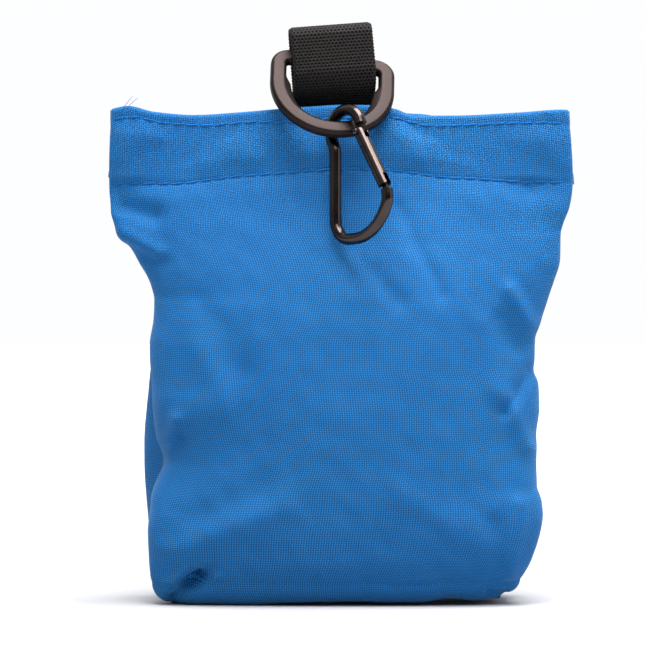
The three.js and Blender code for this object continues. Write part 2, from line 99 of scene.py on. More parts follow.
# How far each layer stands out in the middle, and how square it is across, at each height.
DEPTH = {
    "front": [(0, 18), (5, 21), (8, 22.8), (14, 25.2), (25, 27), (50, 27), (70, 26), (80, 25), (90, 23.3),
              (98, 21.1), (103, 19.4), (110, 16.6), (118, 13.6), (127, 10.6), (131, 9.9), (140, 9.3),
              (150, 8.2)],
    "back": [(0, 18.5), (5, 21), (8, 22), (25, 25.5), (50, 26.5), (80, 24.5), (98, 20.5), (118, 14.5),
             (130, 12.4), (150, 9.6)],
}
SQUARENESS = [(0, 0.3), (8, 0.38), (25, 0.55), (50, 0.8), (80, 1), (98, 1.05), (118, 0.95), (130, 0.75),
              (150, 0.55)]

# Heights along x of the rim, of the two rows of stitching and of the lifted foot.
RIM_LINE = {
    "front": [(-71, 149.8), (-65, 150.8), (-57, 149), (-45, 148), (-31, 148.8), (-18, 149.9), (-8, 150.6),
              (0, 151), (9, 150.9), (16, 149.8), (22, 147.8), (33, 147.8), (54, 148.8), (67, 149.7),
              (71, 149.5)],
    "back": [(-71, 149.6), (-60, 148.8), (-45, 147.2), (-31, 148.7), (-20, 149.8), (0, 149.6), (24, 148.7),
             (33, 147.6), (50, 147.8), (67, 149.2), (71, 149.5)],
}
RIM_STITCH = {
    "front": [(-71, 146.8), (-63, 147.4), (-54, 145.6), (-41, 144.8), (-28, 145.8), (-17, 145.9), (0, 147),
              (14, 147.2), (22, 145.4), (27, 144.6), (50, 145.4), (63, 145.7), (71, 145)],
    "back": [(-71, 146.6), (-40, 144.9), (0, 146), (40, 144.8), (71, 145.4)],
}
HEM_STITCH = {
    "front": [(-71, 127.5), (-50, 127.1), (-42, 128), (-32, 129.3), (-20, 130.2), (-10, 131), (0, 131.6),
              (14, 131.2), (22, 130.3), (30, 129.2), (40, 128.6), (56, 127.8), (71, 127.7)],
    "back": [(-71, 127.5), (-40, 128.4), (0, 130.2), (40, 128.6), (71, 127.7)],
}
FOOT_LIFT = [(-60, 0.5), (-52, 0.3), (-45, 0), (-30, 0), (-15, 0.7), (0, 0.9), (22, 0.9), (33, 2), (41, 0.9),
             (47, 1.8), (50, 2.7), (60, 3)]

# Folds of each layer: from x, z to x, z, how far the ridge stands out (a valley is below 0), and its width.
FOLDS = {
    "front": [
        (-68, 126, -38, 144, -1.5, 6), (28, 147, 57, 129, -1.6, 7), (-26, 147, -22, 134, -0.9, 4),
        (15, 147, 22, 135, 0.6, 4), (-66, 120.5, -57, 118, -2.2, 3.2), (-67, 112.5, -56, 106, 1.2, 2.4),
        (-65, 107.5, -54, 103.5, -0.9, 2.4), (3, 107, 17, 92, -0.9, 3.5), (-8, 104, -11, 93, -0.5, 4),
        (17, 120, 30, 94, -0.6, 2.4), (-43, 92, -31, 72, -0.5, 5.5), (-31, 72, -31, 50, -0.6, 6),
        (-46, 84, -37, 66, 0.8, 5), (-52, 59, -36, 59, 1, 5), (-50, 56, -52.5, 45, 1.7, 2.4),
        (-57, 41.5, -49, 50, -1.8, 2.6), (-52, 41, -57, 33, 1.2, 3), (-44, 27, -26, 36, -0.8, 5),
        (-50, 17, -18, 30, 0.9, 4.5), (-51, 2.4, -43.5, 8.2, -2.7, 1.7), (-46, 6.6, -41.2, 10, -2.7, 2.9),
        (-42, 12.4, -38.4, 9, 1, 1.7), (-53, 6, -47, 10.5, 0.8, 1.6),
        (48, 86, 53, 78, -1.2, 3.2), (50.5, 95, 57, 84.5, 1.2, 2.5), (57, 70, 49, 59, -1.5, 2.4),
        (50, 62, 56, 48, 1.3, 2.7), (42, 84, 46, 66, 0.7, 4), (53, 30, 50, 10, 1.2, 3),
        (46, 25, 47, 12, -0.8, 3), (44, 4.2, 49, 3.4, -1.5, 0.9), (18, 34, 44, 18, 0.7, 6),
        (-12, 20, 22, 24, -0.5, 8),
    ],
    "back": [
        (-58, 126, -30, 143, -1.3, 6), (30, 145, 60, 129, -1.3, 7), (-60, 112, -44, 100, 1.3, 3.4),
        (-55, 104, -40, 95, -1, 3), (44, 108, 60, 118, -1.3, 4), (-8, 110, -22, 78, -0.9, 4),
        (10, 112, 28, 80, -0.9, 4), (-46, 86, -34, 60, -1.2, 5), (40, 80, 32, 54, -1.1, 5),
        (50, 60, 44, 40, 1.2, 4), (-54, 52, -46, 34, 1.2, 4), (-46, 30, -20, 36, -1, 5),
        (-48, 18, -16, 26, 1.3, 5), (20, 30, 46, 16, 1.2, 5), (43, 3, 50, 9, -2.4, 2),
        (-52, 3, -44, 9, -2.4, 2), (-10, 60, 14, 52, 0.6, 8),
    ],
}

# Frayed ends of thread on the front rim: where each pair stands along x, and its steps from there.
FRAYED = {
    -67.4: [[(0, 0, -1), (1, -0.4, 1.2), (2.6, -0.6, 3.2), (3.8, -0.5, 4.6)],
            [(1, 0, -1), (2.4, -0.5, 1.4), (4.1, -0.8, 3.1), (5.4, -0.9, 4.1)]],
    63: [[(1.4, 0, -0.6), (0, -0.2, 0.5), (-1.6, -0.3, 0.5), (-2.2, -0.2, 0.9)],
         [(0.2, 0, -0.6), (-0.6, 0.1, 0.6), (-1.9, 0.2, 0.3), (-2.6, 0.3, 0.6)]],
}

STRAP = {"width": 25, "ply": 1.4, "x": -2.75, "foot": 131.5, "top": 175.4, "yaw": 6, "roll": 4.5,
         "pivot": 163, "room": 0.75, "lean_back": 1.2, "columns": 193, "spacing": 0.22,
         "hole_step": 1.136, "row_step": 0.97, "hole_width": 0.31, "hole_height": 0.34, "relief": 0.36}
RING = {"x": -2.8, "y": -2.5, "z": 163.9, "width": 37.9, "height": 31.2, "bar": 4.8, "thick": 3.4,
        "chamfer": 0.8, "lip": 1.5, "corner": 3.5, "side": 10, "yaw": 6, "tilt": 6.5, "lean": 38}
CARABINER = {"wire": 3.6, "turn": 45, "lean": 7, "hang_x": 4.6, "above_eye": 0.5,
             "eye": (4.45, 32.3), "eye_radius": 6.5, "eye_from": 15,
             "spine_top": [(-1.4, 30), (-0.3, 27.4), (0, 25)],
             "bow": [(0, 15), (0, 6), (0.9, 2.6), (3.3, 0.2), (7, -0.5), (12, 0), (16.6, 2.4), (20, 6.2),
                     (21.7, 10.2), (21.4, 13.2)],
             "nose": (20.6, 14.8)}
GATE = {"pivot": (10.5, 31.4), "tip": (20.75, 14.4), "radius": 2.0, "slot": 1.7, "hinge_slot": 3.2,
        "latch_slot": 3.4, "tang": 1.0, "hinge_tongue": 1.5, "nose_tongue": 0.9, "sunk": 0.6, "pin": 1.0}
RIVET_HEAD = [(0.2, 0.52), (0.7, 0.46), (0.95, 0.25), (0.98, 0.0)]  # radius and height above the gate
RIVET_BOSS = 0.35


# ---- Numbers ----


def smoothstep(low, high, value):
    t = np.clip((np.asarray(value, float) - low) / (high - low), 0, 1)
    return t * t * (3 - 2 * t)


def profile(points, at):
    """Monotone cubic through (position, value) pairs."""
    xs, ys = np.array(points, float).T
    at = np.clip(np.asarray(at, float), xs[0], xs[-1])
    span = np.diff(xs)
    slope = np.diff(ys) / span
    tangent = np.concatenate([slope[:1], np.zeros(len(xs) - 2), slope[-1:]])
    before, after = slope[:-1], slope[1:]
    same = before * after > 0
    tangent[1:-1][same] = 2 * before[same] * after[same] / (before[same] + after[same])
    i = np.clip(np.searchsorted(xs, at) - 1, 0, len(xs) - 2)
    t = (at - xs[i]) / span[i]
    return (
        (2 * t**3 - 3 * t**2 + 1) * ys[i]
        + (t**3 - 2 * t**2 + t) * span[i] * tangent[i]
        + (3 * t**2 - 2 * t**3) * ys[i + 1]
        + (t**3 - t**2) * span[i] * tangent[i + 1]
    )


def spline(points, spacing):
    """Catmull-Rom curve through points, with samples about spacing apart."""
    p = np.array(points, float)
    p = np.vstack([2 * p[0] - p[1], p, 2 * p[-1] - p[-2]])
    out = []
    for a, b, c, d in zip(p, p[1:], p[2:], p[3:]):
        for t in np.linspace(0, 1, 24, endpoint=False):
            out.append(0.5 * (2 * b + (c - a) * t + (2 * a - 5 * b + 4 * c - d) * t**2
                              + (3 * b - a - 3 * c + d) * t**3))
    out.append(p[-2])
    return even(np.array(out), spacing)


def even(line, spacing, closed=False):
    """The same line with evenly spaced points."""
    if closed:
        line = np.vstack([line, line[:1]])
    length = np.concatenate([[0], np.cumsum(np.linalg.norm(np.diff(line, axis=0), axis=1))])
    count = max(int(round(length[-1] / spacing)), 2)
    at = np.linspace(0, length[-1], count + 1)
    if closed:
        at = at[:-1]
    return np.stack([np.interp(at, length, column) for column in line.T], 1)


def ripples(points, wavelengths, seed, count=26):
    """Smooth random undulation of about unit size over 2-D points."""
    rng = np.random.default_rng(seed)
    total = np.zeros(points.shape[:-1])
    for _ in range(count):
        wave = 2 * math.pi / rng.uniform(*wavelengths)
        angle = rng.uniform(0, math.pi)
        phase = rng.uniform(0, 2 * math.pi)
        total += np.sin(wave * (points[..., 0] * math.cos(angle) + points[..., 1] * math.sin(angle)) + phase)
    return total / math.sqrt(count / 2)


# ---- Meshes ----


def mesh_object(name, vertices, faces, material, uv=None, smooth=True):
    """A mesh from millimetre vertices; uv holds one millimetre pair per vertex."""
    mesh = bpy.data.meshes.new(name)
    mesh.from_pydata((np.asarray(vertices, float) * MM).tolist(), [], [tuple(map(int, f)) for f in faces])
    mesh.update()
    if uv is not None:
        layer = mesh.uv_layers.new(name="UVMap")
        corner = np.empty(len(mesh.loops), np.int32)
        mesh.loops.foreach_get("vertex_index", corner)
        layer.data.foreach_set("uv", (np.asarray(uv, float)[corner] * MM).ravel())
    mesh.materials.append(material)
    if smooth:
        mesh.polygons.foreach_set("use_smooth", [True] * len(mesh.polygons))
    obj = bpy.data.objects.new(name, mesh)
    bpy.context.scene.collection.objects.link(obj)
    return obj


def quads(columns, rows, first=0, wrap_columns=False, wrap_rows=False, flip=False):
    """Faces of a grid whose vertex (i, j) is first + i * rows + j."""
    i = np.arange(columns if wrap_columns else columns - 1)[:, None]
    j = np.arange(rows if wrap_rows else rows - 1)[None, :]
    i2, j2 = (i + 1) % columns, (j + 1) % rows
    faces = np.stack([i * rows + j, i2 * rows + j, i2 * rows + j2, i * rows + j2], -1).reshape(-1, 4) + first
    return faces[:, ::-1] if flip else faces


def thick_sheet(outer, inner, flip=False):
    """Closed shell between two grids of points: its vertices and faces."""
    columns, rows = outer.shape[:2]
    per_skin = columns * rows
    faces = [quads(columns, rows, flip=flip), quads(columns, rows, per_skin, flip=not flip)]
    index = np.arange(per_skin).reshape(columns, rows)
    border = np.concatenate([index[:, 0], index[-1, 1:], index[-2::-1, -1], index[0, -2:0:-1]])
    after = np.roll(border, -1)
    rim = np.stack([border, border + per_skin, after + per_skin, after], 1)
    faces.append(rim[:, ::-1] if flip else rim)
    return np.vstack([outer.reshape(-1, 3), inner.reshape(-1, 3)]), np.vstack(faces)


def normals(grid):
    """Unit normals of a grid of points."""
    across = np.gradient(grid, axis=0)
    along = np.gradient(grid, axis=1)
    n = np.cross(across, along)
    return n / np.maximum(np.linalg.norm(n, axis=-1, keepdims=True), 1e-9)


def tube(line, radius, sides):
    """Round rod along a line of 3-D points, radius one number or one per point: vertices, faces, uv."""
    line = np.asarray(line, float)
    count = len(line)
    radius = np.broadcast_to(radius, count)
    tangent = np.gradient(line, axis=0)
    tangent /= np.linalg.norm(tangent, axis=1, keepdims=True)
    side = np.cross(tangent[0], [0.31, 0.87, 0.38])
    frames = []
    for t in tangent:
        side = side - t * np.dot(side, t)
        side /= np.linalg.norm(side)
        frames.append((side.copy(), np.cross(t, side)))
    angle = np.linspace(0, 2 * math.pi, sides, endpoint=False)
    rings = [p + r * (np.outer(np.cos(angle), a) + np.outer(np.sin(angle), b))
             for p, r, (a, b) in zip(line, radius, frames)]
    vertices = np.vstack(rings)
    faces = quads(count, sides, wrap_rows=True, flip=True).tolist()
    faces += [list(range(sides)), list(range(count * sides - 1, (count - 1) * sides - 1, -1))]
    length = np.concatenate([[0], np.cumsum(np.linalg.norm(np.diff(line, axis=0), axis=1))])
    uv = np.stack([np.repeat(length, sides), np.tile(angle * radius.mean(), count)], 1)
    return vertices, faces, uv


def gather(parts):
    """One set of vertices, faces and uv out of several."""
    vertices, faces, uvs, first = [], [], [], 0
    for v, f, uv in parts:
        vertices.append(v)
        uvs.append(uv)
        faces += [[k + first for k in face] for face in f]
        first += len(v)
    return np.vstack(vertices), faces, np.vstack(uvs)


def planar_sweep(line, section, closed=False):
    """Section (out, y) carried along a line in the XZ plane: vertices, faces, uv."""
    line, section = np.asarray(line, float), np.asarray(section, float)
    tangent = np.roll(line, -1, 0) - np.roll(line, 1, 0) if closed else np.gradient(line, axis=0)
    tangent /= np.linalg.norm(tangent, axis=1, keepdims=True)
    out = np.stack([-tangent[:, 1], tangent[:, 0]], 1)
    count, sides = len(line), len(section)
    vertices = np.empty((count, sides, 3))
    vertices[..., 0] = line[:, None, 0] + out[:, None, 0] * section[None, :, 0]
    vertices[..., 2] = line[:, None, 1] + out[:, None, 1] * section[None, :, 0]
    vertices[..., 1] = section[None, :, 1]
    faces = quads(count, sides, wrap_columns=closed, wrap_rows=True).tolist()
    if not closed:
        faces += [list(range(sides))[::-1], list(range((count - 1) * sides, count * sides))]
    length = np.concatenate([[0], np.cumsum(np.linalg.norm(np.diff(line, axis=0), axis=1))])
    girth = np.concatenate([[0], np.cumsum(np.linalg.norm(np.diff(section, axis=0), axis=1))])
    uv = np.stack([np.repeat(length, sides), np.tile(girth, count)], 1)
    return vertices.reshape(-1, 3), faces, uv


def placed(vertices, matrix):
    """Vertices moved by a 4x4 millimetre matrix."""
    m = np.array(matrix)
    return np.asarray(vertices) @ m[:3, :3].T + m[:3, 3]


def outward(obj):
    """Turns every face of an object outward."""
    b = bmesh.new()
    b.from_mesh(obj.data)
    bmesh.ops.recalc_face_normals(b, faces=b.faces)
    b.to_mesh(obj.data)
    b.free()
    return obj


# ---- Materials ----

# Metres between yarns across and along, and metres in one turn of the thread.
CLOTH_PITCH = (0.00069, 0.00055)
TAPE_PITCH = (0.0005, 0.0005)
THREAD_TURN = 0.0005


class Shader:
    """A principled material and short ways to add nodes to it."""

    def __init__(self, name):
        self.material = bpy.data.materials.new(name)
        self.material.use_nodes = True
        self.tree = self.material.node_tree
        self.bsdf = self.tree.nodes["Principled BSDF"]

    def feed(self, socket, value):
        if isinstance(value, bpy.types.NodeSocket):
            self.tree.links.new(value, socket)
        else:
            socket.default_value = value

    def node(self, kind, values=None, **settings):
        node = self.tree.nodes.new("ShaderNode" + kind)
        for key, value in settings.items():
            setattr(node, key, value)
        for key, value in (values or {}).items():
            self.feed(node.inputs[key], value)
        return node

    def math(self, operation, *values):
        node = self.node("Math", operation=operation)
        for k, value in enumerate(values):
            self.feed(node.inputs[k], value)
        return node.outputs[0]

    def uv(self):
        pair = self.node("SeparateXYZ", {"Vector": self.node("UVMap", uv_map="UVMap").outputs[0]})
        return pair.outputs[0], pair.outputs[1]

    def place(self):
        return self.node("TexCoord").outputs["Object"]

    def noise(self, scale, detail=2, roughness=0.5, vector=None):
        values = {"Vector": vector or self.place(), "Scale": scale, "Detail": detail, "Roughness": roughness}
        return self.node("TexNoise", values).outputs[0]

    def span(self, value, low, high, to_low, to_high):
        values = {0: value, 1: low, 2: high, 3: to_low, 4: to_high}
        return self.node("MapRange", values).outputs[0]

    def blend(self, factor, a, b):
        node = self.node("Mix", data_type="RGBA")
        self.feed(node.inputs["Factor"], factor)
        for socket, value in ((node.inputs[6], a), (node.inputs[7], b)):
            self.feed(socket, value if isinstance(value, bpy.types.NodeSocket) else (*value, 1))
        return node.outputs[2]

    def bump(self, height, distance, strength=1.0):
        return self.node("Bump", {"Height": height, "Distance": distance, "Strength": strength}).outputs[0]

    def finish(self, **values):
        for key, value in values.items():
            key = key.replace("_", " ")
            if isinstance(value, tuple) and len(value) == 3:
                value = (*value, 1)
            self.feed(self.bsdf.inputs[key], value)
        return self.material


def linear(*screen):
    """Scene colour of a screen colour in 0 to 255."""
    return tuple(((c / 255 + 0.055) / 1.055) ** 2.4 if c > 10 else c / 255 / 12.92 for c in screen)


def woven(shader, pitch_u, pitch_v):
    """Plain weave over the UVs: its height from 0 to 1, and a number that is 1 on warp and 0 on weft."""
    u, v = shader.uv()
    across = shader.math("SINE", shader.math("MULTIPLY", u, math.pi / pitch_u))
    along = shader.math("SINE", shader.math("MULTIPLY", v, math.pi / pitch_v))
    over = shader.math("MULTIPLY_ADD", shader.math("MULTIPLY", across, along), 0.5, 0.5)
    warp = shader.math("MULTIPLY", shader.math("ABSOLUTE", across), over)
    weft = shader.math("MULTIPLY", shader.math("ABSOLUTE", along), shader.math("SUBTRACT", 1.0, over))
    return shader.math("MAXIMUM", warp, weft), over


def cloth_material():
    s = Shader("blue_oxford_cloth")
    height, over = woven(s, *CLOTH_PITCH)
    tone = s.noise(28, 3, 0.55)
    slub = s.noise(900, 2, 0.6)
    # Painted shade: the colour darkens to near black in the gaps between yarns, where shade falls.
    thread = s.span(height, 0.28, 0.82, 0.0, 1.0)
    base = s.blend(thread, linear(0, 24, 70), linear(27, 119, 190))
    # Painted highlight: the warp floats are lightened, as if lit more from one side.
    base = s.blend(s.math("MULTIPLY", over, 0.35), base, linear(56, 139, 198))
    base = s.blend(s.span(tone, 0.35, 0.65, 0.0, 0.28), base, linear(16, 90, 160))
    base = s.blend(s.span(slub, 0.35, 0.75, 0.0, 0.06), base, linear(7, 72, 139))
    return s.finish(
        Base_Color=base,
        Roughness=s.span(height, 0.0, 1.0, 0.85, 0.62),
        Specular_IOR_Level=0.14,
        Sheen_Weight=0.35,
        Sheen_Roughness=0.3,
        Sheen_Tint=(0.3, 0.6, 1.0),
        Normal=s.bump(height, 0.00013, 1.0),
    )


def thread_material():
    s = Shader("blue_thread")
    u, v = s.uv()
    slant = s.math("ADD", u, s.math("MULTIPLY", v, 0.8))
    twist = s.math("SINE", s.math("MULTIPLY", slant, 2 * math.pi / THREAD_TURN))
    fuzz = s.noise(2500, 2)
    # Painted shade: darker stripes along the twist, in the grooves between the plies.
    base = s.blend(s.span(twist, -1, 1, 0.0, 1.0), linear(16, 92, 166), linear(38, 120, 192))
    base = s.blend(s.math("MULTIPLY", fuzz, 0.3), base, linear(12, 80, 152))
    return s.finish(Base_Color=base, Roughness=0.7, Specular_IOR_Level=0.05, Sheen_Weight=0.08,
                    Sheen_Tint=(0.5, 0.68, 1.0), Normal=s.bump(twist, 0.00006, 0.8))


def strap_material():
    s = Shader("black_webbing")
    u, v = s.uv()
    rows = s.math("DIVIDE", v, STRAP["row_step"] * MM)
    row = s.math("ROUND", rows)
    shift = s.math("MULTIPLY", s.math("MODULO", row, 2.0), 0.5)
    place = s.math("ADD", s.math("DIVIDE", u, STRAP["hole_step"] * MM), shift)
    across = s.math("MULTIPLY", s.math("SUBTRACT", s.math("FRACT", place), 0.5),
                    STRAP["hole_step"] / STRAP["hole_width"])
    along = s.math("MULTIPLY", s.math("SUBTRACT", rows, row), STRAP["row_step"] / STRAP["hole_height"])
    reach = s.math("ADD", s.math("MULTIPLY", across, across), s.math("MULTIPLY", along, along))
    top = s.math("SUBTRACT", 1.0, s.math("EXPONENT", s.math("MULTIPLY", reach, -1.0)))
    fibre = s.noise(1800, 3, 0.6)
    patch = s.noise(60, 2)
    # Painted shade: the holes between the weave's floats are near black, where shade falls.
    base = s.blend(s.span(top, 0.25, 0.95, 0.0, 1.0), linear(1, 1, 2), linear(39, 36, 35))
    base = s.blend(s.math("MULTIPLY", fibre, 0.4), base, linear(10, 9, 10))
    base = s.blend(s.span(patch, 0.4, 0.7, 0.0, 0.2), base, linear(10, 9, 10))
    return s.finish(Base_Color=base, Roughness=s.span(fibre, 0.2, 0.8, 0.6, 0.45), Specular_IOR_Level=0.08,
                    Normal=s.bump(fibre, 0.00008, 0.7))


def binding_material():
    s = Shader("black_binding_tape")
    height, _ = woven(s, *TAPE_PITCH)
    dust = s.noise(300, 3)
    # Painted shade: darker in the gaps between yarns, where shade falls.
    base = s.blend(height, linear(10, 11, 13), linear(38, 40, 46))
    base = s.blend(s.math("MULTIPLY", dust, 0.3), base, linear(24, 28, 36))
    return s.finish(Base_Color=base, Roughness=0.8, Sheen_Weight=0.2, Normal=s.bump(height, 0.0002, 0.8))


def metal_material(name, dark, light, roughness, grain, bump):
    """Metal with a fine grain, broad tarnish and softly worn colour."""
    s = Shader(name)
    fine = s.noise(grain, 3, 0.6)
    broad = s.noise(120, 3, 0.5)
    base = s.blend(s.span(broad, 0.3, 0.7, 0.0, 1.0), dark, light)
    base = s.blend(s.math("MULTIPLY", fine, 0.25), base, tuple(0.6 * c for c in dark))
    rough = s.span(broad, 0.3, 0.7, roughness - 0.03, roughness + 0.05)
    return s.finish(Base_Color=base, Metallic=1.0, Roughness=rough, Normal=s.bump(fine, bump, 0.6))


CLOTH_LOOK = cloth_material()
THREAD_LOOK = thread_material()
STRAP_LOOK = strap_material()
BINDING_LOOK = binding_material()
RING_LOOK = metal_material("satin_gunmetal", linear(42, 36, 35), linear(50, 43, 42), 0.46, 2600, 0.00003)
GUNMETAL_LOOK = metal_material("glossy_gunmetal", linear(64, 57, 55), linear(76, 68, 65), 0.2, 60, 0.000002)
NICKEL_LOOK = metal_material("nickel_plate", linear(178, 180, 182), linear(200, 201, 203), 0.24, 500, 0.00001)
STEEL_LOOK = metal_material("drawn_steel", linear(150, 150, 153), linear(172, 172, 175), 0.3, 700, 0.00002)


# ---- Pouch cloth ----

SIDES = {"front": -1, "back": 1}
COLUMNS = 301
BASE_ROWS = 20  # rows of the flat base and of its rounding, ten each
WALL_ROW = 100  # a row on the wall, where the sign of a normal tells out from in
# How far in the turned-in cloth lies at each height.
HEM_INSET = [(HEM_END, 1.7), (129, 2.0), (133, 4.2), (142, 4.2), (147, 2.6), (150, FOLD)]
STITCH_PITCH = 4.4
STITCH_REACH = 69.5  # how far the rows of stitching run on each side


def fold_field(layer, x, z):
    """How far the cloth stands off its plain shape at each point."""
    field = np.zeros_like(x)
    for x0, z0, x1, z1, height, width in FOLDS[layer]:
        along = np.array([x1 - x0, z1 - z0])
        length = np.linalg.norm(along)
        dx, dz = x - x0, z - z0
        t = np.clip((dx * along[0] + dz * along[1]) / length**2, 0, 1)
        off = np.hypot(dx - t * along[0], dz - t * along[1])
        field += height * np.exp(-((off / width) ** 2))
    points = np.stack([x, z], -1)
    seed = 5 if layer == "front" else 9
    field *= FOLD_DEPTH
    field += 0.18 * ripples(points, (16, 46), seed)
    field += 0.07 * ripples(points, (6, 13), seed + 1)
    field += 0.05 * ripples(points * [1, 0.22], (5, 11), seed + 2) * smoothstep(128, 80, z)
    return clear_of_magnets(layer, field + seam_pull(layer, x, z), z)


def seam_pull(layer, x, z):
    """Groove along each row of stitching, and the puckers that fan out from it."""
    rng = np.random.default_rng(21 if layer == "front" else 22)
    field = np.zeros_like(x)
    for line, reach, depth in ((RIM_STITCH[layer], 4, 0.3), (HEM_STITCH[layer], 13, 0.45)):
        below = profile(line, x) - z
        field -= depth * np.exp(-((below / 0.75) ** 2))
        centre = -69.0
        while centre < 69:
            slant = rng.uniform(-0.5, 0.5)
            size = rng.uniform(0.12, 0.32)
            width = rng.uniform(1.1, 2.1)
            for way, share in ((1, 1.0), (-1, 0.6)):
                down = way * below
                off = x - centre - slant * down
                fade = smoothstep(0, 1.0, down) * np.exp(-np.maximum(down, 0) / (reach * share * 0.5))
                field -= size * share * fade * np.exp(-((off / (width * (1 + 0.06 * down))) ** 2))
            centre += rng.uniform(4.5, 9.5)
    hem = profile(HEM_STITCH[layer], x)
    between = smoothstep(0, 6, z - hem) * smoothstep(0, 6, profile(RIM_STITCH[layer], x) - z)
    return field + HEM_BULGE[layer] * between + 0.5 * np.exp(-(((hem - z - 5) / 4) ** 2))


def clear_of_magnets(layer, field, z):
    """The field with the hem's valleys softly held above its floor."""
    soft, floor = 0.25, HEM_FLOOR[layer]
    held = floor + soft * np.logaddexp(0, (field - floor) / soft)
    return field + (held - field) * smoothstep(126, 130, z)


def cloth_rows():
    """Rows of a layer from the middle of the base to the hem's edge: height, inset and share of depth."""
    half = BASE_ROWS // 2
    rows = [(0.0, FOOT, k) for k in np.linspace(0, 1, half, endpoint=False)]
    rows += [(FOOT * (1 - math.cos(a)), FOOT * (1 - math.sin(a)), 1.0)
             for a in np.linspace(0, math.pi / 2, half)]
    wall = np.concatenate([np.arange(FOOT + 0.5, 122, 0.5), np.arange(122, RIM_HEIGHT - FOLD / 2, 0.42)])
    rows += [(z, 0.0, 1.0) for z in wall]
    top = RIM_HEIGHT - FOLD / 2
    last_outer = len(rows)
    rows += [(top + FOLD / 2 * math.sin(a), FOLD / 2 * (1 - math.cos(a)), 1.0)
             for a in np.linspace(0, math.pi, 13)]
    rows += [(z, float(profile(HEM_INSET, z)), 1.0) for z in np.arange(top - 0.7, HEM_END, -0.7)]
    return np.array(rows), last_outer


def cloth_layer(layer):
    """Outer face of a layer: its points, its uv and the number of rows below the fold over the rim."""
    side = SIDES[layer]
    turn = np.linspace(-1, 1, COLUMNS)[:, None]
    rows, last_outer = cloth_rows()
    z, inset, share = (rows[:, k][None, :] for k in range(3))
    station = np.maximum(z, FOOT)
    size = np.abs(turn)

    half, seam = {}, {}
    for way in ("left", "right"):
        half[way] = profile(HALF_WIDTH[layer, way], station)
        other = profile(HALF_WIDTH["back" if layer == "front" else "front", way], station)
        seam[way] = np.minimum(half[way], other) - profile(SEAM_TUCK[way], station)
    mine = np.where(turn < 0, half["left"], half["right"])
    drawn = np.where(turn < 0, seam["left"], seam["right"])
    edge = 1 - EDGE_ROUND * np.minimum((mine - drawn) / 3, 1)
    rounding = np.clip((size - edge) / np.maximum(1 - edge, 1e-6), 0, 1)
    x = mine * np.sin(np.minimum(size / edge, 1) * math.pi / 2) - (mine - drawn) * rounding**2
    depth = profile(DEPTH[layer], station)
    bulge = np.maximum(np.cos(size * math.pi / 2), 0) ** profile(SQUARENESS, station)
    y = depth * bulge

    in_base = z < FOOT
    x = x * np.where(in_base, 1 - inset / mine, 1)
    y = np.where(in_base, y * (1 - inset / depth) * share, y)
    inside = np.arange(len(rows))[None, :] >= last_outer
    y = np.where(inside, y - inset * np.tanh(y / np.maximum(1.3 * inset, 1e-6)), y)
    x = np.where(inside, x - 0.25 * inset * size**4, x) * np.sign(turn)

    rim = (profile(RIM_LINE[layer], x) - RIM_HEIGHT) * smoothstep(118, RIM_HEIGHT, z)
    lift = profile(FOOT_LIFT, x) * np.exp(-z / 7)
    plain = np.stack([x, side * y, z + rim + lift + 0 * x], -1)

    push = normals(plain) * side * -1
    if push[COLUMNS // 2, WALL_ROW, 1] * side < 0:
        push = -push
    push = np.where(inside[..., None], [0.0, side, 0.0], push)
    push[..., 0] *= 0.35
    field = fold_field(layer, plain[..., 0], plain[..., 2])
    field = field * smoothstep(0, 0.1, 1 - size) * smoothstep(0, 0.5, share) * np.where(in_base, 0.75, 1)
    grid = plain + push * field[..., None]
    grid[..., 2] = np.maximum(grid[..., 2], 0.05)

    step = np.linalg.norm(np.diff(plain, axis=0), axis=-1)
    across = np.concatenate([np.zeros((1, len(rows))), np.cumsum(step, 0)])
    across = (across / across[-1] - 0.5) * 2 * half["left"].max()
    climb = np.linalg.norm(np.diff(plain, axis=1), axis=-1)
    along = np.concatenate([np.zeros((COLUMNS, 1)), np.cumsum(climb, 1)], 1)
    along -= along[:, BASE_ROWS - 1 : BASE_ROWS]
    return grid, np.stack([across, along], -1), last_outer


def cloth_object(name, layer, grid, uv):
    out = normals(grid)
    if out[COLUMNS // 2, WALL_ROW, 1] * SIDES[layer] < 0:
        out = -out
    inner = grid - out * CLOTH
    inner[..., 2] = np.maximum(inner[..., 2], 0.1)
    vertices, faces = thick_sheet(grid, inner, flip=SIDES[layer] > 0)
    obj = mesh_object(name, vertices, faces, CLOTH_LOOK, np.vstack([uv.reshape(-1, 2)] * 2))
    return outward(obj), out


def surface_points(grid, out, last_outer, xs, line, lift):
    """Points just off the outer face at given x and at a row's height."""
    points = []
    wall = np.arange(BASE_ROWS, last_outer)
    for x, off in zip(xs, np.broadcast_to(lift, len(xs))):
        row = float(wall[len(wall) // 2])
        column = 0.0
        for _ in range(3):
            j = int(round(row))
            column = np.interp(x, grid[8:-8, j, 0], np.arange(8, COLUMNS - 8))
            i = int(round(column))
            row = np.interp(profile(line, x), grid[i, wall, 2], wall)
        i, j = int(column), int(row)
        a, b = column - i, row - j
        weight = np.array([[(1 - a) * (1 - b), (1 - a) * b], [a * (1 - b), a * b]])[..., None]
        patch, facing = grid[i : i + 2, j : j + 2], out[i : i + 2, j : j + 2]
        points.append((patch * weight).sum((0, 1)) + (facing * weight).sum((0, 1)) * off)
    return np.array(points)


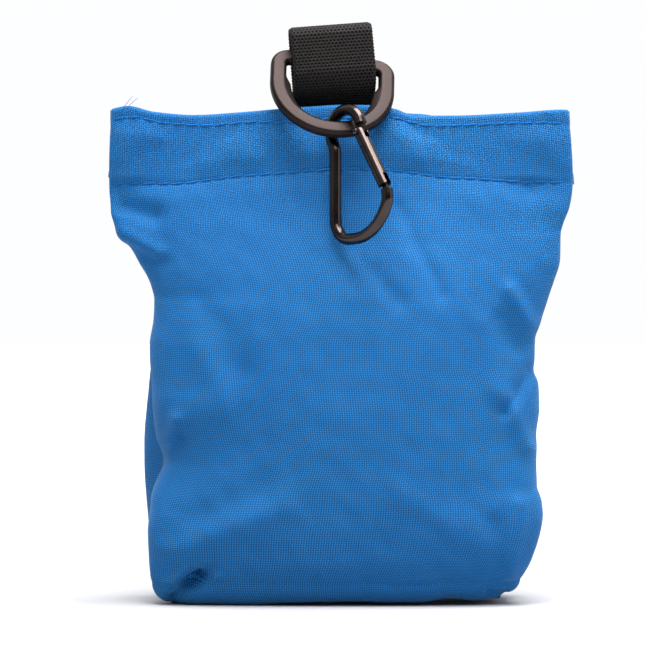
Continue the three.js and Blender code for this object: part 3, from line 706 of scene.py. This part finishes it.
def stitches(grid, out, last_outer, line, seed):
    """Separate lockstitches along a line, each arched and dipping in at its ends."""
    rng = np.random.default_rng(seed)
    parts = []
    start = -STITCH_REACH
    while start < STITCH_REACH - STITCH_PITCH:
        share = np.linspace(0, 1, 9)
        xs = start + 0.05 + (STITCH_PITCH - 0.05) * share
        arch = -0.2 + 0.32 * np.sin(math.pi * share) ** 0.5
        points = surface_points(grid, out, last_outer, xs, line, arch)
        points[:, 2] += np.linspace(-0.12, 0.16, 9) + rng.uniform(-0.06, 0.06)
        radius = THREAD * (0.75 + 0.25 * np.sin(math.pi * share) ** 0.5)
        parts.append(tube(points, radius, 8))
        start += STITCH_PITCH * rng.uniform(0.96, 1.04)
    return parts


def loose_thread(start, steps, radius=0.11):
    """A frayed end of thread that stands off the cloth."""
    line = spline([np.add(start, step) for step in steps], 0.25)
    return tube(line, np.linspace(radius, radius * 0.5, len(line)), 6)


def mouth_weight(obj, uv_turn):
    """Bends a piece between the pouch and its back: the side seams stay and the middle opens."""
    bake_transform(obj, "pouch", "back", start=(0, 0, 0), end=(0, 0, 0.03))
    attribute = obj.data.attributes["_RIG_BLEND"]
    weight = smoothstep(1.0, 0.42, uv_turn)
    attribute.data.foreach_set("value", weight.astype(np.float32))


def turn_of(points):
    """How far round towards the side seam each point lies, from 0 in the middle to 1."""
    z = points[:, 2]
    left, right = (profile(HALF_WIDTH["back", way], z) for way in ("left", "right"))
    half = np.where(points[:, 0] < 0, left, right)
    return np.arcsin(np.clip(np.abs(points[:, 0]) / half, 0, 1)) * 2 / math.pi


for layer in SIDES:
    grid, uv, last_outer = cloth_layer(layer)
    obj, out = cloth_object(layer + "_cloth", layer, grid, uv)
    if layer == "front":
        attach(obj, "pouch")
        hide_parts("front_panel", "base_panel")
    else:
        turn = np.tile(np.repeat(np.abs(np.linspace(-1, 1, COLUMNS)), grid.shape[1]), 2)
        mouth_weight(obj, turn)
        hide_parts("back_panel")
    for row, line, seed in (("rim", RIM_STITCH[layer], 3), ("hem", HEM_STITCH[layer], 4)):
        parts = stitches(grid, out, last_outer, line, seed)
        if (layer, row) == ("front", "rim"):
            for x, threads in FRAYED.items():
                corner = surface_points(grid, out, last_outer, [x], RIM_LINE[layer], 0)[0]
                parts += [loose_thread(corner, steps) for steps in threads]
        vertices, faces, uv = gather(parts)
        sewn = outward(mesh_object(f"{layer}_{row}_stitches", vertices, faces, THREAD_LOOK, uv))
        if layer == "front":
            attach(sewn, "pouch")
        else:
            points = np.array([v.co for v in sewn.data.vertices]) / MM
            mouth_weight(sewn, turn_of(points))
        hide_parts(f"{layer}_{row}_stitching")


# ---- Webbing loop ----


def strap_line():
    """Middle line of the strap in the YZ plane, from the front tail over the ring's bar to the rear tail."""
    ply, room = STRAP["ply"], STRAP["room"]
    front_tail = -0.45
    back_tail = front_tail + ply + 0.35
    half = RING["bar"] / 2 + ply / 2 + room
    front, back = RING["y"] - half, RING["y"] + half
    top = half - STRAP["lean_back"] / 2
    crown = STRAP["top"] - ply / 2 - top
    line = [(front_tail, STRAP["foot"]), (front_tail, 140), (front_tail, 149), (front_tail - 1.2, 152.6),
            (front + 1.2, 157), (front - 0.2, 160.8), (front + 0.1, 164)]
    for k in range(9):
        angle = math.pi * (1 - k / 8)
        line.append((back - top + top * math.cos(angle), crown + top * math.sin(angle)))
    line += [(back, 166), (back, 158), (back_tail, 152), (back_tail, 149), (back_tail, 140),
             (back_tail, STRAP["foot"])]
    return spline(line, STRAP["spacing"])


def strap_place(across, y, z):
    """Where a point of the flat strap lies once the strap is turned and rolled above the rim."""
    turned = smoothstep(RIM_HEIGHT + 1, RIM_HEIGHT + 10, z)
    a, b = math.radians(STRAP["yaw"]) * turned, math.radians(STRAP["roll"]) * turned
    along = across * np.cos(b) - (z - STRAP["pivot"]) * np.sin(b)
    deep = y - RING["y"]
    return np.stack([
        STRAP["x"] + along * np.cos(a) - deep * np.sin(a),
        RING["y"] + along * np.sin(a) + deep * np.cos(a),
        z + across * np.sin(b),
    ], -1)


def strap():
    line = strap_line()
    tangent = np.gradient(line, axis=0)
    tangent /= np.linalg.norm(tangent, axis=1, keepdims=True)
    length = np.arange(len(line)) * STRAP["spacing"]
    width = STRAP["width"]
    u = np.linspace(0, width, STRAP["columns"])[:, None]
    v = length[None, :]
    rows = v / STRAP["row_step"]
    row = np.round(rows)
    place = u / STRAP["hole_step"] + 0.5 * (row % 2)
    across = (place % 1 - 0.5) * STRAP["hole_step"] / STRAP["hole_width"]
    along = (rows - row) * STRAP["row_step"] / STRAP["hole_height"]
    hole = np.exp(-(across**2) - along**2)
    relief = STRAP["relief"] * (0.3 - hole - 0.12 * np.cos(2 * math.pi * rows))
    edge = smoothstep(0, 0.9, u) * smoothstep(0, 0.9, width - u)
    scallop = 1 + 0.008 * np.cos(2 * math.pi * rows)
    skins = []
    for sign in (1, -1):
        off = sign * (STRAP["ply"] / 2 * (0.45 + 0.55 * edge) + relief * (0.4 + 0.6 * edge))
        y = line[None, :, 0] - tangent[None, :, 1] * off
        z = line[None, :, 1] + tangent[None, :, 0] * off
        skins.append(strap_place((u - width / 2) * scallop, y, z))
    vertices, faces = thick_sheet(*skins)
    uv = np.stack([u + 0 * v, v + 0 * u], -1).reshape(-1, 2)
    return outward(mesh_object("woven_strap", vertices, faces, STRAP_LOOK, np.vstack([uv, uv])))


loop = strap()
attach(loop, "pouch")
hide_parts("webbing_loop")


# ---- D-ring ----

RING_PLACE = (
    Matrix.Translation((RING["x"], RING["y"], RING["z"]))
    @ Matrix.Rotation(math.radians(RING["yaw"]), 4, "Z")
    @ Matrix.Rotation(math.radians(RING["tilt"]), 4, "Y")
    @ Matrix.Rotation(math.radians(-RING["lean"]), 4, "X")
)


def ring_line():
    half = (RING["width"] - RING["bar"]) / 2
    corner, side = RING["corner"], RING["side"]
    fall = RING["height"] - RING["bar"] - side
    points = []
    for x, z, rx, rz, start, end, steps in (
        (corner - half, -corner, corner, corner, 180, 90, 12),
        (half - corner, -corner, corner, corner, 90, 0, 12),
        (0, -side, half, fall, 0, -180, 60),
    ):
        for k in range(steps + 1):
            a = math.radians(start + (end - start) * k / steps)
            points.append((x + rx * math.cos(a), z + rz * math.sin(a)))
    return even(np.array(points), 0.5, closed=True)


def ring_section(lip):
    """Flat faces with bevels whose edges are slightly rounded; the inner bevel runs out to the lip."""
    r, t, c = RING["bar"] / 2, RING["thick"] / 2, RING["chamfer"]
    inner, flat = -r - lip, (t - c) * (1 - 0.5 * lip / RING["lip"])
    corners = [(r, t - c), (r - c, t), (c - r, t), (inner, flat),
               (inner, -flat), (c - r, -t), (r - c, -t), (r, c - t)]
    section = []
    for k, (x, y) in enumerate(corners):
        before, after = np.array(corners[k - 1]), np.array(corners[(k + 1) % 8])
        here = np.array((x, y))
        a = here + (before - here) / np.linalg.norm(before - here) * 0.4
        b = here + (after - here) / np.linalg.norm(after - here) * 0.4
        for s in np.linspace(0, 1, 5):
            section.append((1 - s) ** 2 * a + 2 * s * (1 - s) * here + s**2 * b)
    return section


def ring_shape():
    """The lip fades out along the straight bar, which the strap wraps round."""
    line = ring_line()
    plain, faces, uv = planar_sweep(line, ring_section(0), closed=True)
    lipped, _, _ = planar_sweep(line, ring_section(RING["lip"]), closed=True)
    share = smoothstep(-7.5, -11.5, line[:, 1])
    share *= 0.25 + 0.75 * smoothstep(-24, -14, line[:, 1])  # shallower on the bow, inside the eye
    share = np.repeat(share, len(plain) // len(line))[:, None]
    return plain + share * (lipped - plain), faces, uv


vertices, faces, uv = ring_shape()
ring = outward(mesh_object("d_ring_cast", placed(vertices, RING_PLACE), faces, RING_LOOK, uv))
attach(ring, "ring")
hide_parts("d_ring")


# ---- Carabiner ----


def carabiner_place():
    """Frame of the carabiner, hung by its eye on the middle line of the ring's bow."""
    turned = (Matrix.Rotation(math.radians(-CARABINER["lean"]), 4, "X")
              @ Matrix.Rotation(math.radians(-CARABINER["turn"]), 4, "Z"))
    half = (RING["width"] - RING["bar"]) / 2
    fall = (RING["height"] - RING["bar"] - RING["side"]) * math.sqrt(1 - (CARABINER["hang_x"] / half) ** 2)
    bow = RING_PLACE @ Vector((CARABINER["hang_x"], 0, -RING["side"] - fall))
    eye = turned @ Vector((CARABINER["eye"][0], 0, CARABINER["eye"][1] + CARABINER["above_eye"]))
    return Matrix.Translation(bow - eye) @ turned


CARABINER_PLACE = carabiner_place()
pivot, tip = np.array(GATE["pivot"]), np.array(GATE["tip"])
GATE_ANGLE = math.atan2(tip[0] - pivot[0], pivot[1] - tip[1])
GATE_LENGTH = float(np.linalg.norm(tip - pivot))
GATE_PLACE = (CARABINER_PLACE @ Matrix.Translation((pivot[0], 0, pivot[1]))
              @ Matrix.Rotation(-GATE_ANGLE, 4, "Y"))


def circle(radius, sides):
    angles = np.linspace(0, 2 * math.pi, sides, endpoint=False)
    return [(radius * math.cos(a), radius * math.sin(a)) for a in angles]


def tongue(start, end, radius, thickness):
    """Flat bar with round ends in the XZ plane: vertices and faces."""
    start, end = np.array(start), np.array(end)
    heading = math.atan2(*(end - start)[::-1])
    outline = []
    for centre, first in ((start, heading + math.pi / 2), (end, heading - math.pi / 2)):
        for a in np.linspace(first, first + math.pi, 12):
            outline.append(centre + radius * np.array([math.cos(a), math.sin(a)]))
    count = len(outline)
    vertices = [(x, y, z) for y in (-thickness / 2, thickness / 2) for x, z in outline]
    faces = [list(range(count)), list(range(2 * count - 1, count - 1, -1))]
    faces += [[k, k + count, (k + 1) % count + count, (k + 1) % count] for k in range(count)]
    return np.array(vertices), faces


def boolean(obj, tools, operation):
    """Joins tool objects to obj or cuts them from it, and removes them."""
    for tool in tools:
        modifier = obj.modifiers.new(operation, "BOOLEAN")
        modifier.operation = operation
        modifier.solver = "EXACT"
        modifier.object = tool
    graph = bpy.context.evaluated_depsgraph_get()
    mesh = bpy.data.meshes.new_from_object(obj.evaluated_get(graph))
    obj.modifiers.clear()
    obj.data = mesh
    for tool in tools:
        bpy.data.objects.remove(tool)
    return obj


def softened(obj, width=0.14, angle=32):
    """Rounds an object's hard edges."""
    bevel = obj.modifiers.new("bevel", "BEVEL")
    bevel.width = width * MM
    bevel.segments = 2
    bevel.angle_limit = math.radians(angle)
    bevel.harden_normals = True
    graph = bpy.context.evaluated_depsgraph_get()
    mesh = bpy.data.meshes.new_from_object(obj.evaluated_get(graph))
    obj.modifiers.clear()
    obj.data = mesh
    for polygon in mesh.polygons:
        polygon.use_smooth = True
    return obj


def solid(name, vertices, faces, place, material):
    return outward(mesh_object(name, placed(vertices, place), faces, material))


def block(centre, size):
    c, s = np.array(centre), np.array(size) / 2
    vertices = [c + s * (x, y, z) for x in (-1, 1) for y in (-1, 1) for z in (-1, 1)]
    faces = [(0, 1, 3, 2), (4, 6, 7, 5), (0, 4, 5, 1), (2, 3, 7, 6), (0, 2, 6, 4), (1, 5, 7, 3)]
    return np.array(vertices), faces


def carabiner_body():
    (ex, ez), radius = CARABINER["eye"], CARABINER["eye_radius"]
    points = []
    for k in range(9):
        a = math.radians(CARABINER["eye_from"] + (180 - CARABINER["eye_from"]) * k / 8)
        points.append((ex + radius * math.cos(a), ez + radius * math.sin(a)))
    line = spline(points + CARABINER["spine_top"] + CARABINER["bow"], 0.5)
    vertices, faces, _ = planar_sweep(line, circle(CARABINER["wire"] / 2, 32))
    body = solid("carabiner_wire", vertices, faces, CARABINER_PLACE, GUNMETAL_LOOK)
    start, end = line[0], line[-1]
    sunk, tang = GATE["sunk"], GATE["tang"]
    hinge = tongue((start[0], start[1] + sunk), GATE["pivot"], GATE["hinge_tongue"], tang)
    hinge = solid("hinge_tongue", *hinge, CARABINER_PLACE, GUNMETAL_LOOK)
    nose = tongue((end[0], end[1] - sunk), CARABINER["nose"], GATE["nose_tongue"], tang)
    nose = solid("nose_tongue", *nose, CARABINER_PLACE, GUNMETAL_LOOK)
    return softened(boolean(body, [hinge, nose], "UNION"))


def gate_tube():
    radius = GATE["radius"]
    dome = [(-radius * math.cos(a), radius * math.sin(a)) for a in np.linspace(0.12, math.pi / 2, 8)]
    line = [(0, 0, -along) for along, _ in dome] + [(0, 0, -z) for z in np.linspace(0.6, GATE_LENGTH, 12)]
    radii = [r for _, r in dome] + [radius] * 12
    vertices, faces, _ = tube(line, np.array(radii), 32)
    gate = solid("gate_tube", vertices, faces, GATE_PLACE, GUNMETAL_LOOK)
    slots = []
    for start, end in ((-3, GATE["hinge_slot"]), (GATE_LENGTH - GATE["latch_slot"], GATE_LENGTH + 1)):
        box = block((0, 0, -(start + end) / 2), (4 * radius, GATE["slot"], end - start))
        slots.append(solid("slot", *box, GATE_PLACE, GUNMETAL_LOOK))
    return softened(boolean(gate, slots, "DIFFERENCE"))


def rivet():
    reach = GATE["radius"] + RIVET_BOSS
    head = RIVET_HEAD
    line = [(0, -reach - h, 0) for _, h in head] + [(0, -reach, 0), (0, reach, 0)]
    line += [(0, reach + h, 0) for _, h in head[::-1]]
    radii = [r for r, _ in head] + [GATE["pin"] / 2] * 2 + [r for r, _ in head[::-1]]
    vertices, faces, _ = tube(line, np.array(radii), 20)
    return solid("rivet", vertices, faces, GATE_PLACE, GUNMETAL_LOOK)


for obj, body, node in (
    (carabiner_body(), "carabiner", "carabiner_body"),
    (gate_tube(), "gate", "carabiner_gate"),
    (rivet(), "carabiner", "gate_rivet"),
):
    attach(obj, body)
    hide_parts(node)


# ---- Pieces inside, which keep their CAD meshes ----

for look, nodes in (
    (NICKEL_LOOK, ("front_magnet_left", "front_magnet_right", "back_magnet_left", "back_magnet_right")),
    (BINDING_LOOK, ("left_seam_binding", "right_seam_binding", "left_corner_seam", "right_corner_seam")),
    (THREAD_LOOK, ("left_seam_stitching", "right_seam_stitching", "webbing_tack_stitching")),
    (STEEL_LOOK, ("gate_plunger", "gate_spring")),
):
    for node in nodes:
        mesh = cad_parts[node].data
        mesh.materials.clear()
        mesh.materials.append(look)

# ---- Floor, light and camera ----


BACKDROP = (0.105, 1.0)  # brightness of the studio in front of the pouch and behind it
OVERHEAD = 0.22
FLOOR_GLOW = (0.25, 0.9)  # metres from the pouch at which the floor starts to glow and is full white
SOFTBOXES = {  # place and target in metres, width and height, watts
    "top": ((0.1, -0.12, 0.95), (0, 0, 0.08), (0.8, 0.5), 20.5),
    "key": ((0.1, -0.65, 0.95), (0, 0, 0.08), (0.7, 0.5), 5.3),
    "left": ((-0.75, -0.55, 0.5), (0, 0, 0.09), (0.35, 0.8), 0.45),
    "right": ((0.8, -0.3, 0.4), (0, 0, 0.09), (0.35, 0.8), 1.3),
}
CAMERA = {"distance": 1.25, "rise": 1.2, "x": -5.95, "z": 84.9, "view": 196.725, "sensor": 36}


def stage():
    floor = Shader("white_paper")
    grain = floor.noise(40, 2)
    away = floor.node("VectorMath", {0: floor.place()}, operation="LENGTH").outputs["Value"]
    floor.finish(Base_Color=floor.blend(grain, (0.43, 0.43, 0.44), (0.46, 0.46, 0.47)), Roughness=0.8,
                 Specular_IOR_Level=0.2, Emission_Color=(1, 1, 1),
                 Emission_Strength=floor.span(away, *FLOOR_GLOW, 0.0, 1.0))
    plane = mesh_object("floor", [(-3000, -3000, 0), (3000, -3000, 0), (3000, 3000, 0), (-3000, 3000, 0)],
                        [(0, 1, 2, 3)], floor.material, smooth=False)

    world = bpy.data.worlds.new("studio")
    bpy.context.scene.world = world
    world.use_nodes = True
    tree = world.node_tree
    split = tree.nodes.new("ShaderNodeSeparateXYZ")
    tree.links.new(tree.nodes.new("ShaderNodeTexCoord").outputs["Generated"], split.inputs[0])
    levels = []
    for axis, low, high, dark, light in ((1, -0.3, 0.4, *BACKDROP), (2, 0.1, 0.9, 0.0, OVERHEAD)):
        level = tree.nodes.new("ShaderNodeMapRange")
        level.interpolation_type = "SMOOTHSTEP"
        tree.links.new(split.outputs[axis], level.inputs[0])
        for k, value in enumerate((low, high, dark, light)):
            level.inputs[k + 1].default_value = value
        levels.append(level.outputs[0])
    total = tree.nodes.new("ShaderNodeMath")
    tree.links.new(levels[0], total.inputs[0])
    tree.links.new(levels[1], total.inputs[1])
    sky = tree.nodes["Background"]
    sky.inputs[0].default_value = (0.985, 0.99, 1, 1)
    tree.links.new(total.outputs[0], sky.inputs[1])


def softbox(name, place, target, size, power):
    light = bpy.data.lights.new(name, "AREA")
    light.shape = "RECTANGLE"
    light.size, light.size_y = size
    light.energy = power
    obj = bpy.data.objects.new(name, light)
    bpy.context.scene.collection.objects.link(obj)
    obj.location = place
    obj.rotation_euler = (Vector(target) - Vector(place)).to_track_quat("-Z", "Y").to_euler()


def camera():
    """Long lens, level with the pouch and straight in front of it."""
    distance, rise = CAMERA["distance"], math.radians(CAMERA["rise"])
    middle = Vector((CAMERA["x"], 0, CAMERA["z"])) * MM
    data = bpy.data.cameras.new("camera")
    data.sensor_width = CAMERA["sensor"]
    data.lens = CAMERA["sensor"] * distance / (CAMERA["view"] * MM)
    obj = bpy.data.objects.new("camera", data)
    bpy.context.scene.collection.objects.link(obj)
    obj.location = middle + Vector((0, -math.cos(rise), math.sin(rise))) * distance
    obj.rotation_euler = (middle - obj.location).to_track_quat("-Z", "Y").to_euler()
    bpy.context.scene.camera = obj


stage()
for name, box in SOFTBOXES.items():
    softbox(name, *box)
camera()
bpy.context.scene.view_settings.view_transform = "Standard"
